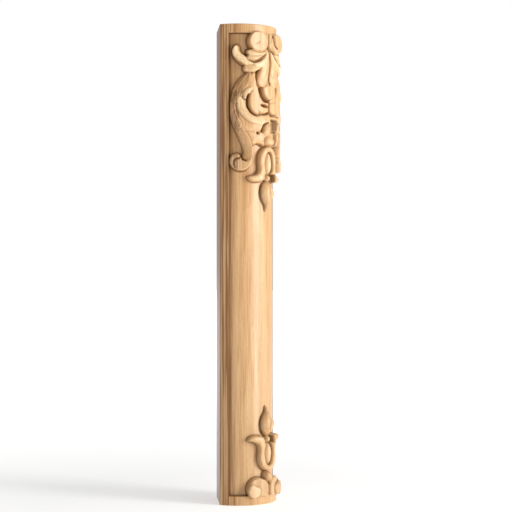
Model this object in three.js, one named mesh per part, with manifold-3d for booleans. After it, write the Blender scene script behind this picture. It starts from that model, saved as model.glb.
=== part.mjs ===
// Carved corner column in light oak, stood upright: a round front with a raised frame
// round a sunk panel, carved at the head and the foot, and two flat backs at a right angle.
// The origin is on the underside, at the centre of the round front, which faces -Y.
import * as THREE from 'three';
import { mergeVertices } from 'three/addons/utils/BufferGeometryUtils.js';
import Module from 'manifold-3d';

// Driving sizes of the blank, in millimetres and degrees
const HEIGHT = 720;
const FRONT_RADIUS = 58;
const FRONT_HALF_ANGLE = 78;
const PANEL_RADIUS = 51.5;
const PANEL_HALF_ANGLE = 64;
const BAND_HEIGHT = 14;
const ARC_STEPS = 40;

// The carving is laid out flat as it is drawn on the wood: a distance to the side of the
// middle line, measured round the column at CARVING_RADIUS, and a height or a drop from the
// top. Every lift is a height above the sunk panel.
const CARVING_RADIUS = 55;
const ROOT_DEPTH = 2;
// Width left at the very end of a ridge, as a part of its full width
const END_WIDTH = 0.3;

const wasm = await Module();
wasm.setup();

const radians = THREE.MathUtils.degToRad;

// A closed three.js geometry as a solid that can be joined and cut
function solidOf(geometry) {
  const bare = geometry.clone();
  bare.deleteAttribute('normal');
  bare.deleteAttribute('uv');
  const merged = mergeVertices(bare, 1e-4);
  return new wasm.Manifold(new wasm.Mesh({
    numProp: 3,
    vertProperties: new Float32Array(merged.attributes.position.array),
    triVerts: new Uint32Array(merged.index.array),
  }));
}

// A solid back as a three.js geometry
function geometryOf(solid) {
  const mesh = solid.getMesh();
  const geometry = new THREE.BufferGeometry();
  geometry.setAttribute('position', new THREE.BufferAttribute(mesh.vertProperties, 3));
  geometry.setIndex(new THREE.BufferAttribute(mesh.triVerts, 1));
  geometry.computeVertexNormals();
  return geometry;
}

// Point of the ground plan at a radius and an angle from the middle of the front
function planPoint(radius, angle) {
  return new THREE.Vector2(radius * Math.sin(angle), -radius * Math.cos(angle));
}

// Point over the sunk panel at a side distance, a height and a lift
function overPanel(side, height, lift) {
  const plan = planPoint(PANEL_RADIUS + lift, side / CARVING_RADIUS);
  return [plan.x, plan.y, height];
}

// The blank: the round front, and the two flat backs that meet at the back corner
function blank() {
  const half = radians(FRONT_HALF_ANGLE);
  const corner = FRONT_RADIUS * (Math.sin(half) - Math.cos(half));
  const outline = [];
  for (let i = 0; i <= ARC_STEPS; i += 1) {
    outline.push(planPoint(FRONT_RADIUS, half * (2 * i / ARC_STEPS - 1)));
  }
  outline.push(new THREE.Vector2(0, corner));
  return new THREE.ExtrudeGeometry(new THREE.Shape(outline), { depth: HEIGHT, bevelEnabled: false });
}

// The wood taken out in front of the panel, inside the raised frame
function panelCut() {
  const half = radians(PANEL_HALF_ANGLE);
  const clear = FRONT_RADIUS + 5;
  const outline = [];
  for (let i = 0; i <= ARC_STEPS; i += 1) {
    outline.push(planPoint(PANEL_RADIUS, half * (2 * i / ARC_STEPS - 1)));
  }
  for (let i = ARC_STEPS; i >= 0; i -= 1) {
    outline.push(planPoint(clear, half * (2 * i / ARC_STEPS - 1)));
  }
  const depth = HEIGHT - 2 * BAND_HEIGHT;
  const cut = new THREE.ExtrudeGeometry(new THREE.Shape(outline), { depth, bevelEnabled: false });
  return cut.translate(0, 0, BAND_HEIGHT);
}

// A closed skin over rings of points: each ring is joined to the next, the first and the last
// are filled, and the faces are turned outwards
function skinOver(rings) {
  const count = rings[0].length;
  const faces = [];
  for (let i = 0; i + 1 < rings.length; i += 1) {
    for (let k = 0; k < count; k += 1) {
      const a = i * count + k;
      const b = i * count + (k + 1) % count;
      faces.push(a, b, b + count, a, b + count, a + count);
    }
  }
  const last = (rings.length - 1) * count;
  for (let k = 1; k + 1 < count; k += 1) {
    faces.push(0, k + 1, k, last, last + k, last + k + 1);
  }
  const geometry = new THREE.BufferGeometry();
  geometry.setAttribute('position', new THREE.Float32BufferAttribute(rings.flat(2), 3));
  geometry.setIndex(enclosedVolume(rings.flat(), faces) < 0 ? faces.reverse() : faces);
  return geometry;
}

// Volume inside a closed list of triangles, negative when they face inwards
function enclosedVolume(points, faces) {
  const [a, b, c] = [new THREE.Vector3(), new THREE.Vector3(), new THREE.Vector3()];
  let volume = 0;
  for (let i = 0; i < faces.length; i += 3) {
    a.fromArray(points[faces[i]]);
    b.fromArray(points[faces[i + 1]]);
    c.fromArray(points[faces[i + 2]]);
    volume += a.dot(b.cross(c)) / 6;
  }
  return volume;
}

// Value at the fraction t of a list of evenly spaced values
function along(values, t) {
  const place = t * (values.length - 1);
  const start = Math.min(Math.floor(place), values.length - 2);
  return THREE.MathUtils.lerp(values[start], values[start + 1], place - start);
}

// A carved ridge along a route: rounded across, round at both ends, and rooted in the panel.
// Its section is a superellipse, rounder for a low fullness and flatter for a high one.
function ridge({ route, halfWidths, lifts, across = 6, steps = 8, fullness = 3 }) {
  const curve = new THREE.SplineCurve(route);
  const length = curve.getLength();
  const rings = [];
  for (let i = 0; i <= steps; i += 1) {
    const t = (1 - Math.cos(Math.PI * i / steps)) / 2;
    const centre = curve.getPointAt(t);
    const tangent = curve.getTangentAt(t);
    const fullWidth = along(halfWidths, t);
    const fromEnd = Math.min(t, 1 - t) * length;
    const inside = Math.min(fromEnd / fullWidth, 1);
    const rounding = Math.max(Math.sqrt(1 - (1 - inside) ** 2), END_WIDTH);
    const halfWidth = fullWidth * rounding;
    const lift = along(lifts, t) * Math.sqrt(rounding);
    const ring = [];
    for (let k = 0; k <= across; k += 1) {
      const s = -Math.cos(Math.PI * k / across);
      const rise = lift * Math.sqrt(1 - Math.abs(s) ** fullness);
      const edge = k === 0 || k === across;
      const side = centre.x - tangent.y * halfWidth * s;
      const height = centre.y + tangent.x * halfWidth * s;
      ring.push(overPanel(side, height, edge ? -ROOT_DEPTH : rise));
    }
    rings.push(ring);
  }
  return skinOver(rings);
}

// A round boss on the panel: a stack of rings, each a fraction of the radius at a fraction of
// the lift, above a root ring below the panel. It is a true circle at each level.
function boss({ side, height, radius, lift, profile, segments = 22 }) {
  const middle = side / CARVING_RADIUS;
  const levels = [{ wide: radius, high: -ROOT_DEPTH }];
  for (const [width, rise] of profile) {
    levels.push({ wide: radius * width, high: lift * rise });
  }
  const rings = levels.map(({ wide, high }) => {
    const ring = [];
    for (let k = 0; k < segments; k += 1) {
      const turn = 2 * Math.PI * k / segments;
      const angle = middle + wide * Math.cos(turn) / (PANEL_RADIUS + high);
      const plan = planPoint(PANEL_RADIUS + high, angle);
      ring.push([plan.x, plan.y, height + wide * Math.sin(turn)]);
    }
    return ring;
  });
  return skinOver(rings);
}

// Profile of a drum with a sloping wall and a slightly crowned face
const DRUM_PROFILE = [[0.9, 0.9], [0.84, 0.98], [0.4, 1]];
// Profile of a ball that stands half out of the wood
const BALL_PROFILE = [0.2, 0.5, 0.8, 1.1, 1.4].map((a) => [Math.cos(a), Math.sin(a)]);

// Points of the head are given by their drop from the top of the column
function fromTop(points) {
  return points.map(([side, drop]) => new THREE.Vector2(side, HEIGHT - drop));
}

// The same shape on the other side of the middle line
function onOtherSide(ridgeOrBoss) {
  if (ridgeOrBoss.route) {
    const route = ridgeOrBoss.route.map((p) => new THREE.Vector2(-p.x, p.y));
    return { ...ridgeOrBoss, route };
  }
  return { ...ridgeOrBoss, side: -ridgeOrBoss.side };
}

// Head, left of the middle line: the acanthus leaf, the scroll and its volute, the web
const HEAD_RIDGES = [
  // Lobes of the leaf, from the highest to the one that hangs beside the middle
  {
    route: fromTop([[3, 37], [12, 43.5], [22, 47.5], [36, 46.5]]),
    halfWidths: [3, 5, 7, 7],
    lifts: [8, 11.5, 12, 11],
  },
  {
    route: fromTop([[5, 46], [16, 57], [30, 60.5], [43, 56], [50, 46], [50, 34]]),
    halfWidths: [4, 6, 7, 8, 7.5, 4.5],
    lifts: [11, 13, 12, 12, 11.5, 10],
    steps: 12,
  },
  {
    route: fromTop([[9, 62], [22, 66], [41, 67.5]]),
    halfWidths: [4, 5.5, 6],
    lifts: [12, 12.5, 12],
  },
  {
    route: fromTop([[5, 48], [9, 65], [13.5, 80], [15, 94]]),
    halfWidths: [5, 6.5, 6.5, 5],
    lifts: [13, 13, 10.5, 9],
  },
  // The long scroll, from under the leaf to its volute
  {
    route: fromTop([[26, 76], [38, 90], [48, 107], [50.5, 125], [47.5, 143], [42, 159],
      [38, 174], [36, 188], [38, 202], [47, 209]]),
    halfWidths: [5, 8, 10, 11, 11, 9.5, 7.5, 6.5, 6.5, 6],
    lifts: [9, 11, 12, 13, 14, 13, 11, 10.5, 12, 13],
    steps: 15,
  },
  // The lobe that curls inside the scroll, and the lower lobe by the middle
  {
    route: fromTop([[26, 78], [28, 108], [27, 122], [16, 132]]),
    halfWidths: [5, 7.5, 7.5, 5],
    lifts: [9.5, 11, 12, 11],
  },
  {
    route: fromTop([[19, 128], [8, 127], [0, 124]]),
    halfWidths: [5, 6.5, 6],
    lifts: [11, 12, 12],
  },
  // Small leaf and shoulder over the hanging tulip
  {
    route: fromTop([[16, 158], [9, 155], [0, 154]]),
    halfWidths: [3, 6.5, 7],
    lifts: [11, 13, 13.5],
  },
  {
    route: fromTop([[26, 166], [16, 171], [8, 171]]),
    halfWidths: [6, 8, 7],
    lifts: [7, 10, 11],
  },
];

// Head, on the middle line: the rib of the leaf, its curled tip, the web and the strap
const HEAD_MIDDLE = [
  {
    route: fromTop([[0, 34], [0, 57], [0, 75], [0, 95]]),
    halfWidths: [4, 6, 7, 8],
    lifts: [7, 13.8, 11, 8.5],
  },
  {
    route: fromTop([[0, 86], [0, 104], [0, 118]]),
    halfWidths: [11, 14.5, 9],
    lifts: [9.5, 12, 10],
    across: 8,
  },
  {
    route: fromTop([[0, 117], [0, 140], [0, 158], [0, 182]]),
    halfWidths: [24, 42, 42, 22],
    lifts: [9, 10.5, 10, 7.5],
    across: 12,
    fullness: 8,
    steps: 7,
  },
  {
    route: fromTop([[0, 12], [0, 34]]),
    halfWidths: [10, 7],
    lifts: [8.5, 8],
    steps: 4,
  },
];

const HEAD_BOSSES = [
  { side: 20.5, height: HEIGHT - 25.5, radius: 17.6, lift: 13.5, profile: DRUM_PROFILE },
  { side: 48.5, height: HEIGHT - 207, radius: 15, lift: 13, profile: DRUM_PROFILE },
  { side: 40.5, height: HEIGHT - 106, radius: 6.5, lift: 15, profile: BALL_PROFILE, segments: 12 },
];

// Foot: a drum cut off by the bottom band, with a higher eye that laps over the band
const FOOT_DRUM = { side: 18.3, height: 20.5, radius: 21, lift: 9, profile: DRUM_PROFILE };
const FOOT_EYE = { side: 25.6, height: 21, radius: 12, lift: 13.5, profile: DRUM_PROFILE };

// Tulip, almond, bead and bud in one row, the same at the head and the foot. They rise from
// a base height, upwards at the foot and downwards at the head.
const FOOT_TULIP_BASE = 50;
const HEAD_TULIP_BASE = 537.5;

const TULIP_PETAL = {
  route: [[0, 5], [9, 9], [13.5, 19], [13, 31], [15.5, 41], [22, 47.5], [29, 50], [35.5, 47]],
  halfWidths: [4.5, 5, 5.5, 5.5, 6, 6, 4.5, 2],
  lifts: [10, 10.5, 11, 11, 10.5, 9.5, 8, 6],
  steps: 14,
};
const TULIP_MIDDLE = [
  { route: [[0, 8], [0, 25], [0, 41]], halfWidths: [5, 8.5, 5], lifts: [8, 10, 8] },
  {
    route: [[0, 53], [0, 60], [0, 68], [0, 76], [0, 84], [0, 96]],
    halfWidths: [5, 10.5, 12, 9.5, 5, 1.5],
    lifts: [7.5, 10.5, 11, 10, 6.5, 2.5],
    fullness: 2.4,
  },
  { route: [[0, 54], [0, 65], [0, 78]], halfWidths: [5, 6.5, 3], lifts: [8.5, 12, 10.5], steps: 6 },
];
const TULIP_BEAD = { rise: 46.5, radius: 6.5, lift: 9 };
const TULIP_BALL = { rise: -7.5, radius: 9.2, lift: 9.5 };

// All solids of one tulip row, standing up or hanging down from its base height
function tulipRow(base, direction) {
  const place = (item) => {
    const route = item.route.map(([side, rise]) => new THREE.Vector2(side, base + direction * rise));
    return { ...item, route };
  };
  const petal = place(TULIP_PETAL);
  const ridges = [petal, onOtherSide(petal), ...TULIP_MIDDLE.map(place)];
  const balls = [TULIP_BEAD, TULIP_BALL].map(({ rise, radius, lift }) => {
    const height = base + direction * rise;
    return boss({ side: 0, height, radius, lift, profile: BALL_PROFILE, segments: 16 });
  });
  return [...ridges.map(ridge), ...balls];
}

// Every carved solid that stands out of the panel
function carving() {
  const headRidges = HEAD_RIDGES.flatMap((item) => [item, onOtherSide(item)]);
  const headBosses = HEAD_BOSSES.flatMap((item) => [item, onOtherSide(item)]);
  const eyes = [FOOT_EYE, onOtherSide(FOOT_EYE)];
  return [
    ...[...headRidges, ...HEAD_MIDDLE].map(ridge),
    ...[...headBosses, ...eyes].map(boss),
    ...tulipRow(HEAD_TULIP_BASE, -1),
    ...tulipRow(FOOT_TULIP_BASE, 1),
  ];
}

// The drums of the foot, cut off flat at the top edge of the bottom band
function footDrums() {
  const band = new THREE.BoxGeometry(4 * FRONT_RADIUS, 4 * FRONT_RADIUS, 2 * BAND_HEIGHT);
  const drums = [FOOT_DRUM, onOtherSide(FOOT_DRUM)].map(boss).map(solidOf);
  return drums[0].add(drums[1]).subtract(solidOf(band));
}

let column = solidOf(blank()).subtract(solidOf(panelCut())).add(footDrums());
for (const piece of carving()) {
  column = column.add(solidOf(piece));
}

const oak = new THREE.MeshStandardMaterial({ color: '#e0b484', roughness: 0.5, metalness: 0 });
const carvedColumn = new THREE.Mesh(geometryOf(column), oak);
carvedColumn.name = 'carved_column';

const part = new THREE.Group();
part.add(carvedColumn);

export default part;
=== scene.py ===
"""A carved oak corner column in soft studio light, seen from its left front.

One closed surface carries the whole column. Its carving is laid out flat first, as a map of lifts
above the sunk panel, and is then wrapped round the front. On that map "side" is the arc distance
from the middle line and "height" is the height above the underside, both in millimetres. A stop of
a raised band or of a groove is its side, height, half width and level, and a stop of an outline is
its side and height. The left half mirrors the right one where a stroke doesn't say otherwise.
"""

import logging
import math
from collections.abc import Sequence
from dataclasses import KW_ONLY, dataclass
from enum import Enum

import bpy
import numpy as np
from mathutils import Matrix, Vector


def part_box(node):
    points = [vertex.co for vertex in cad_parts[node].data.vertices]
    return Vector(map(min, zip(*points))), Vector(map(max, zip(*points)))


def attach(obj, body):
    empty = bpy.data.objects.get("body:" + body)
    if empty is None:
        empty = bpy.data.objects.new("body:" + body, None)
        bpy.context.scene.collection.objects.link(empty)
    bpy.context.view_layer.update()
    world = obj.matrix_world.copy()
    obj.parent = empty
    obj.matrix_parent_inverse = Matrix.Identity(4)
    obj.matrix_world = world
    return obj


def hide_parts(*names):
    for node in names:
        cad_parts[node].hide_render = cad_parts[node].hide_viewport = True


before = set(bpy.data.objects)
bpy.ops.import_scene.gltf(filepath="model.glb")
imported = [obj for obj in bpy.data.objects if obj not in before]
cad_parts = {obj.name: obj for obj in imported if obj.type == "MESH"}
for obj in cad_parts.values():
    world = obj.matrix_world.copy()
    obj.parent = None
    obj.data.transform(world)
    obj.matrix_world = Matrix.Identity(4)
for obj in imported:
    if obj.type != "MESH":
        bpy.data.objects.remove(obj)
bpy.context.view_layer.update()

LOG = logging.getLogger("carved_column")
NODE = "carved_column"
BODY = "root"
MM = 0.001

Array = np.ndarray
Place = tuple[float, float]
Stop = tuple[float, float, float, float]

SPAN_POINTS = 7  # points to each span of a curve
TINY = 1e-9
MOST_ROUND = 0.8  # the largest share of a form's lift that the round of its rim takes up
FAINTEST_SHADE = 0.02  # painted shade weaker than this leaves the wood as it is
MARGIN = 8.0  # how far a stroke's walls and painted shade can reach past it
OVERLAP = 0.2  # how far a stroke of one half goes over the middle line
# Distances past the panel's edge at which the step up to the frame is drawn.
EDGE_STEPS = np.array([-0.5, -0.28, -0.02, 0.08, 0.25, 0.6, 1.1])
# Blurs, depth that counts in full and weight, for the narrow and the wide look at a place's neighbours.
NEIGHBOURHOODS = ((4, 2.2, 0.75), (30, 7.0, 0.45))


class Half(Enum):
    """Which half of the front a stroke is worked on, as the viewer of the front sees it."""

    BOTH = 0
    LEFT = -1
    RIGHT = 1


class Section(Enum):
    """The section across a raised band."""

    SHOULDERED = "a broad top with rounded shoulders"
    ROUND = "a half ellipse"


def linear(code: str) -> tuple[float, float, float, float]:
    """Turns an sRGB hex colour into linear light, by the sRGB curve.

    Args:
        code: six hex digits after a hash sign.

    Returns:
        Red, green, blue and an alpha of one.
    """
    parts = [int(code[i:i + 2], 16) / 255 for i in (1, 3, 5)]
    light = [p / 12.92 if p <= 0.04045 else ((p + 0.055) / 1.055) ** 2.4 for p in parts]
    return (light[0], light[1], light[2], 1.0)


def smooth_route(stops: Sequence[Sequence[float]], closed: bool = False) -> Array:
    """Draws a smooth curve through the stops, with all their columns carried along it.

    Between the stops b and c, with a before them and d after, it is half of
    2b + (c − a)t + (2a − 5b + 4c − d)t² + (3b − a − 3c + d)t³.

    Args:
        stops: rows of numbers, of which the first two are a place.
        closed: whether the last stop joins the first.

    Returns:
        The curve's points, one row each. A closed curve's first point isn't repeated.
    """
    p = np.array(stops, float)
    first, last = (p[-1:], p[:2]) if closed else (2 * p[:1] - p[1:2], 2 * p[-1:] - p[-2:-1])
    p = np.vstack([first, p, last])
    t = (np.arange(SPAN_POINTS) / SPAN_POINTS)[None, :, None]
    a, b, c, d = (p[i:len(p) - 3 + i, None, :] for i in range(4))
    square, cube = (2 * a - 5 * b + 4 * c - d) * t ** 2, (3 * b - a - 3 * c + d) * t ** 3
    curve = (0.5 * (2 * b + (c - a) * t + square + cube)).reshape(-1, p.shape[1])
    return curve if closed else np.vstack([curve, p[-2]])


def against(route: Array, side: Array, height: Array) -> tuple[Array, Array, Array, Array]:
    """Measures places against a route whose third column is its half width.

    The nearest stretch is the one whose band reaches furthest over the place: distance less half
    width is smallest there.

    Args:
        route: rows of side, height, half width and further columns.
        side: the places' sides.
        height: the places' heights.

    Returns:
        Distance to the route, the same with a sign (positive where the way turns left), share of
        the route travelled, and the route's columns at the nearest point.
    """
    start, run = route[:-1], route[1:] - route[:-1]
    ps, ph = side[:, None] - start[:, 0], height[:, None] - start[:, 1]
    length2 = np.maximum(run[:, 0] ** 2 + run[:, 1] ** 2, TINY)
    t = np.clip((ps * run[:, 0] + ph * run[:, 1]) / length2, 0, 1)
    distance = np.hypot(ps - t * run[:, 0], ph - t * run[:, 1])
    k = (distance - start[:, 2] - t * run[:, 2]).argmin(1)
    row = np.arange(len(k))
    t, distance = t[row, k], distance[row, k]
    turn = np.sign(run[k, 0] * ph[row, k] - run[k, 1] * ps[row, k])
    return distance, distance * turn, (k + t) / len(start), start[k] + t[:, None] * run[k]


def eased(x: Array) -> Array:
    """Goes smoothly from 0 to 1 as its values do: 3x² − 2x³ between them."""
    x = np.clip(x, 0, 1)
    return x * x * (3 - 2 * x)


def shoulder(inside: Array, top: Array, radius: float, draft: float) -> Array:
    """Gives a raised form its edge: a quarter round at the rim, then a wall that leans outwards.

    Args:
        inside: distance inside the rim, negative outside it.
        top: lift of the form's top.
        radius: radius of the rim's round.
        draft: how far out the wall reaches at the panel.

    Returns:
        The lift, which is top less r(1 − √(1 − (1 − q)²)) inside, with q the share of the radius.
    """
    r = np.minimum(radius, MOST_ROUND * np.maximum(top, 0.01))
    q = np.clip(inside / r, 0, 1)
    wall = (top - r) * np.clip(1 + inside / draft, 0, 1)
    return np.where(inside > 0, top - r * (1 - np.sqrt(q * (2 - q))), wall)


def deepened(painted_shading: Array, brown: Array) -> Array:
    """Gives the greater of two amounts of painted shade where the second is felt, and leaves the rest as it
    is.
    """
    return np.where(brown > FAINTEST_SHADE, np.maximum(painted_shading, brown), painted_shading)


def softened(values: Array, times: int) -> Array:
    """Blurs a grid with the weights 1, 2, 1 along both ways.

    Args:
        values: the grid.
        times: how often it is blurred.

    Returns:
        The blurred grid.
    """
    for _ in range(times):
        for axis in (0, 1):
            ahead, behind = np.roll(values, 1, axis), np.roll(values, -1, axis)
            values = (ahead + 2 * values + behind) / 4
    return values


def hollows(lift: Array) -> Array:
    """Tells how deep each place lies among its neighbours.

    The lift is taken from its own mean over a narrow and a wide neighbourhood, and what is left
    above zero is scaled, weighted and added up.

    Args:
        lift: the grid of lifts.

    Returns:
        Hollowness from 0 to 0.85.
    """
    deep = [weight * np.clip((softened(lift, times) - lift) / depth, 0, 1)
            for times, depth, weight in NEIGHBOURHOODS]
    return np.clip(deep[0] + deep[1], 0, 0.85)


@dataclass(frozen=True)
class Stroke:
    """One stroke of the carving, worked on one half of the front or on both."""

    _: KW_ONLY
    half: Half = Half.BOTH

    def work(self, lift: Array, painted_shading: Array, side: Array, height: Array) -> tuple[Array, Array]:
        """Works the stroke into the lifts and the stain that it meets.

        Args:
            lift: the lifts so far.
            painted_shading: the painted shade so far, below zero where a painted highlight lies.
            side: the places' sides.
            height: the places' heights.

        Returns:
            The lifts and the stain with this stroke in them.
        """
        raise NotImplementedError

    def extent(self) -> tuple[Sequence[Sequence[float]], float]:
        """Returns the places that the stroke is drawn through and how far it reaches round them."""
        raise NotImplementedError

    def near(self, side: Array, height: Array) -> Array:
        """Says which places lie in the box that the stroke can touch.

        Args:
            side: the places' sides.
            height: the places' heights.

        Returns:
            True for each place in the box.
        """
        places, radius = self.extent()
        box = np.array(places, float)[:, :2]
        low, high = box.min(0) - radius - MARGIN, box.max(0) + radius + MARGIN
        return (side > low[0]) & (side < high[0]) & (height > low[1]) & (height < high[1])


@dataclass(frozen=True)
class Form(Stroke):
    """A raised form of the carving.

    rim is the radius of its rim's round, draft is how far its wall leans out, and between are the
    heights that it is kept within. sunk is the level of the line that the carver cut round the form
    where it lies on another, beginning at the share sunk_from of the way along it, and steep is the
    slope of that line's far wall. stain is the strength of the painted shade that darkens the foot of
    the form's wall, dark_rim is how far inside the rim that painted shade begins, and rubbed is the
    strength of the painted highlight that makes the form's top pale.
    """

    _: KW_ONLY
    sunk: float | None = None
    sunk_from: float = -1.0
    steep: float = 2.6
    rim: float = 1.6
    draft: float = 0.9
    painted_shading: float = 0.9
    dark_rim: float = 0.0
    painted_highlight: float = 0.0
    between: Place | None = None

    LINE_DROP = 12.0  # the line comes down from this far above its level
    LINE_SHARE = 0.2  # over this share of the way
    TALL_WALL = 5.0  # a wall of this height gets the full painted shade
    FULL_FROM = 0.6  # the painted shade grows from half to full from this share of the draft
    FULL_OVER = 0.8  # over this distance
    GROUND = 0.3  # and it stays full this far past the wall's foot

    def work(self, lift: Array, painted_shading: Array, side: Array, height: Array) -> tuple[Array, Array]:
        """Raises this form out of the lifts it meets.

        The new lift is the greater of the old one, cut back by the line, and the form's own. The
        painted shade is greatest at the foot of the wall, in keeping with the wall's height, about half as
        strong up the wall, and falls off as exp(−d²) over the ground in front of it. The form's own
        top carries its painted highlight as a value below zero.

        Args:
            lift: the lifts so far.
            painted_shading: the painted shade so far, below zero where a painted highlight lies.
            side: the places' sides.
            height: the places' heights.

        Returns:
            The lifts and the painted shade and highlight with this form in them.
        """
        inside, top, along = self.shape(side, height)
        if self.between is not None:
            inside = np.minimum(inside, np.minimum(height - self.between[0], self.between[1] - height))
        outside = np.maximum(-inside, 0)
        if self.sunk is not None:
            drop = self.LINE_DROP * (1 - eased((along - self.sunk_from) / self.LINE_SHARE))
            lift = np.minimum(lift, np.maximum(self.sunk + drop + self.steep * outside, 0))
        raised = shoulder(inside, top, self.rim, self.draft)
        # Painted shade darkens the wall's foot and the wall, where shade falls, and a painted highlight
        # makes the form's top pale.
        past = np.maximum(self.dark_rim - inside, 0)
        full = eased((past - self.FULL_FROM * self.draft) / self.FULL_OVER)
        down = eased(past / self.draft) * (0.5 + 0.5 * full)
        before = np.exp(-np.maximum(outside - self.draft - self.GROUND, 0) ** 2)
        foot = self.painted_shading * np.clip((top - lift) / self.TALL_WALL, 0, 1) * down * before
        clean = (inside > self.dark_rim) & (raised >= lift)
        return np.maximum(lift, raised), np.where(clean, -self.painted_highlight, deepened(painted_shading, foot))

    def shape(self, side: Array, height: Array) -> tuple[Array, Array, Array]:
        """Measures places against the form.

        Args:
            side: the places' sides.
            height: the places' heights.

        Returns:
            The distance inside the rim, the top's lift and the share of the way along.
        """
        raise NotImplementedError


@dataclass(frozen=True)
class Strand(Form):
    """A raised band along a route, of changing width and lift.

    Across it the top is lift + lean·s − crown·s², with s the share of the half width, negative on
    the side where the way turns right. A round one's top is lift·√(1 − 0.9 s²).
    """

    stops: tuple[Stop, ...]
    crown: float = 1.0
    lean: float = 0.0
    section: Section = Section.SHOULDERED

    def extent(self) -> tuple[Sequence[Sequence[float]], float]:
        """Returns the stops and the greatest half width."""
        return self.stops, max(stop[2] for stop in self.stops)

    def shape(self, side: Array, height: Array) -> tuple[Array, Array, Array]:
        """Measures places against the strand's route.

        Args:
            side: the places' sides.
            height: the places' heights.

        Returns:
            The distance inside the rim, the top's lift and the share of the way along.
        """
        distance, signed, along, at = against(smooth_route(self.stops), side, height)
        half_width = np.maximum(at[:, 2], 0.2)
        share = np.clip(signed / half_width, -1, 1)
        top = at[:, 3] + self.lean * share - self.crown * share ** 2
        if self.section is Section.ROUND:
            top = at[:, 3] * np.sqrt(1 - 0.9 * share ** 2)
        return half_width - distance, top, along


@dataclass(frozen=True)
class Island(Form):
    """A raised field inside a closed outline.

    across says that the outline is one half and its mirror image completes it. The top is
    lift + swell·eased(inside ÷ reach) + slope·(side − middle).
    """

    outline: tuple[Place, ...]
    lift: float = 10.0
    swell: float = 0.0
    reach: float = 6.0
    slope: float = 0.0
    middle: float = 0.0
    across: bool = False

    def extent(self) -> tuple[Sequence[Sequence[float]], float]:
        """Returns the outline."""
        return self.outline, 0.0

    def shape(self, side: Array, height: Array) -> tuple[Array, Array, Array]:
        """Measures places against the island's shore, by distance and by an even-odd test.

        Args:
            side: the places' sides.
            height: the places' heights.

        Returns:
            The distance inside the shore, the top's lift and a share of one all over.
        """
        stops = list(self.outline)
        if self.across:
            stops += [(-s, h) for s, h in reversed(self.outline) if s > 0]
        curve = smooth_route(stops, closed=True)
        ring = np.vstack([curve, curve[:1]])
        distance = against(np.hstack([ring, np.zeros((len(ring), 1))]), side, height)[0]
        s0, h0, s1, h1 = ring[:-1, 0], ring[:-1, 1], ring[1:, 0], ring[1:, 1]
        spans = (h0 > height[:, None]) != (h1 > height[:, None])
        rise = np.where(h1 == h0, TINY, h1 - h0)
        crossing = side[:, None] < s0 + (height[:, None] - h0) * (s1 - s0) / rise
        within = (spans & crossing).sum(1) % 2 == 1
        inside = np.where(within, distance, -distance)
        top = self.lift + self.swell * eased(inside / self.reach) + self.slope * (side - self.middle)
        return inside, top, np.ones_like(top)


@dataclass(frozen=True)
class Drum(Form):
    """A round drum with a flat face.

    The face gains flattening·d² over the lift at d from its centre's side, which makes it flat on the
    round front. tilt raises it towards the outer side and dip lets it down near the middle line.
    """

    centre: Place
    radius: float
    lift: float
    tilt: float = 0.0
    dip: float = 0.0
    dip_from: float = 15.0
    flattening: float = 0.0107

    def extent(self) -> tuple[Sequence[Sequence[float]], float]:
        """Returns the centre and the radius."""
        return (self.centre,), self.radius

    def shape(self, side: Array, height: Array) -> tuple[Array, Array, Array]:
        """Measures places against the drum's circle.

        Args:
            side: the places' sides.
            height: the places' heights.

        Returns:
            The distance inside the circle, the top's lift and a share of one all over.
        """
        ds, dh = side - self.centre[0], height - self.centre[1]
        top = self.lift + self.flattening * ds ** 2 + self.tilt * ds / self.radius
        top = top - self.dip * eased((self.dip_from - side) / self.dip_from)
        return self.radius - np.hypot(ds, dh), top, np.ones_like(top)


@dataclass(frozen=True)
class Ball(Form):
    """A dome on an upright wall.

    The wall is the share wall of the lift, and the rest of the top goes as √(1 − ρ²), with ρ the
    share of the radii.
    """

    centre: Place
    radii: Place
    lift: float
    wall: float

    def extent(self) -> tuple[Sequence[Sequence[float]], float]:
        """Returns the centre and the greater radius."""
        return (self.centre,), max(self.radii)

    def shape(self, side: Array, height: Array) -> tuple[Array, Array, Array]:
        """Measures places against the ball's outline.

        Args:
            side: the places' sides.
            height: the places' heights.

        Returns:
            The distance inside the outline, the top's lift and a share of one all over.
        """
        rho = np.hypot((side - self.centre[0]) / self.radii[0], (height - self.centre[1]) / self.radii[1])
        dome = np.sqrt(np.clip(1 - rho ** 2, 0, 1))
        top = self.lift * (self.wall + (1 - self.wall) * dome)
        return (1 - rho) * min(self.radii), top, np.ones_like(rho)


@dataclass(frozen=True)
class Groove(Stroke):
    """A line cut into the carving along a route, whose wall rises by steep from the floor's edge."""

    stops: tuple[Stop, ...]
    steep: float = 3.4
    # strength of the painted shade in the groove
    painted_shading: float = 0.9

    DEEP = 4.0  # a groove of this depth gets the full painted shade
    SPREAD = 0.9  # the painted shade's reach beside the floor

    def extent(self) -> tuple[Sequence[Sequence[float]], float]:
        """Returns the stops and the greatest half width."""
        return self.stops, max(stop[2] for stop in self.stops)

    def work(self, lift: Array, painted_shading: Array, side: Array, height: Array) -> tuple[Array, Array]:
        """Cuts the groove: the lesser of the old lift and floor + steep·(distance − half width).

        The painted shade goes with the depth and falls off as exp(−(d ÷ spread)²) beside the floor.

        Args:
            lift: the lifts so far.
            painted_shading: the painted shade so far, below zero where a painted highlight lies.
            side: the places' sides.
            height: the places' heights.

        Returns:
            The lifts and the painted shade with this groove in them.
        """
        distance, _, _, at = against(smooth_route(self.stops), side, height)
        beside = np.maximum(distance - at[:, 2], 0)
        depth = np.clip((lift - at[:, 3]) / self.DEEP, 0, 1)
        brown = self.painted_shading * depth * np.exp(-(beside / self.SPREAD) ** 2)
        return np.minimum(lift, at[:, 3] + self.steep * beside), deepened(painted_shading, brown)


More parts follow.
